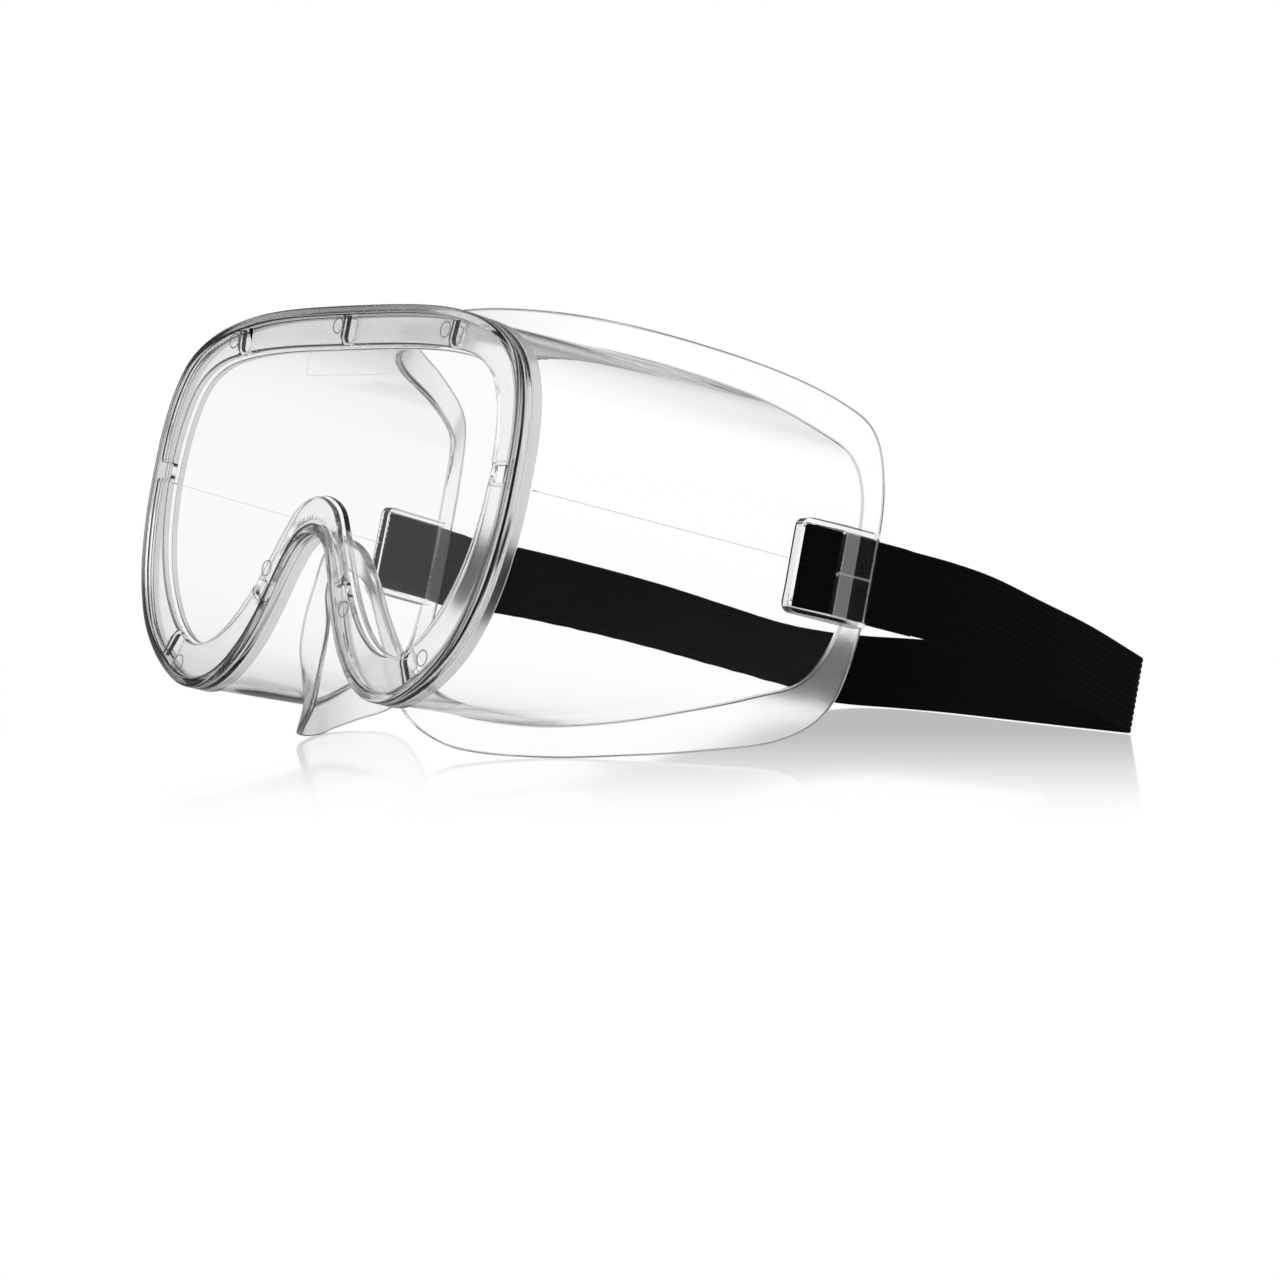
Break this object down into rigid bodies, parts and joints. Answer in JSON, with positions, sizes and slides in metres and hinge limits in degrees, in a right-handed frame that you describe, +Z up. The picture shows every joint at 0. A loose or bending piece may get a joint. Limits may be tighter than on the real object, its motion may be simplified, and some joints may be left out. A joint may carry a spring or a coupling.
{
  "type": "safety goggles",
  "caption": "Clear panoramic safety goggles standing on their cheek edges, with a black elastic headband laid out behind them.",
  "frame": {"origin": "on the surface the goggles stand on, under the middle of the whole object", "axes": "+X to the wearer's left, +Y from the lens back to the headband, +Z up"},
  "size_m": [0.1767, 0.2239, 0.1031],
  "materials": {
    "clear_pvc": "clear, soft, slightly grey",
    "clear_lens": "clear and polished",
    "elastic": "ribbed knit, matte"
  },
  "bodies": {
    "goggles": {"rim_band": "clear_pvc", "lens_retaining_lip": "clear_pvc", "lens": "clear_lens", "lens_seat": "clear_pvc", "forehead_wall": "clear_pvc", "side_wall_left": "clear_pvc", "side_wall_right": "clear_pvc", "cheek_wall_left": "clear_pvc", "cheek_wall_right": "clear_pvc", "nose_bridge_wall": "clear_pvc", "forehead_seal": "clear_pvc", "cheek_seal_left": "clear_pvc", "cheek_seal_right": "clear_pvc", "nose_seal": "clear_pvc", "strap_lug_left": "clear_pvc", "strap_lug_right": "clear_pvc", "strap_loop_left": "elastic", "strap_loop_right": "elastic"},
    "headband": {"headband_left_run": "elastic", "headband_right_run": "elastic"},
    "tail_left": {"strap_tail_left": "elastic"},
    "tail_right": {"strap_tail_right": "elastic"}
  },
  "joints": [
    {"name": "headband_swing", "type": "hinge", "parent": "goggles", "child": "headband", "pos_m": [0, 0.00258, 0.03713], "axis": [1, 0, 0], "range_deg": [0, 45]},
    {"name": "strap_tail_left_slide", "type": "slide", "parent": "goggles", "child": "tail_left", "axis": [0.1132, 0.9669, -0.2286], "range_m": [0, 0.008]},
    {"name": "strap_tail_right_slide", "type": "slide", "parent": "goggles", "child": "tail_right", "axis": [-0.1132, 0.9669, -0.2286], "range_m": [0, 0.008]}
  ]
}
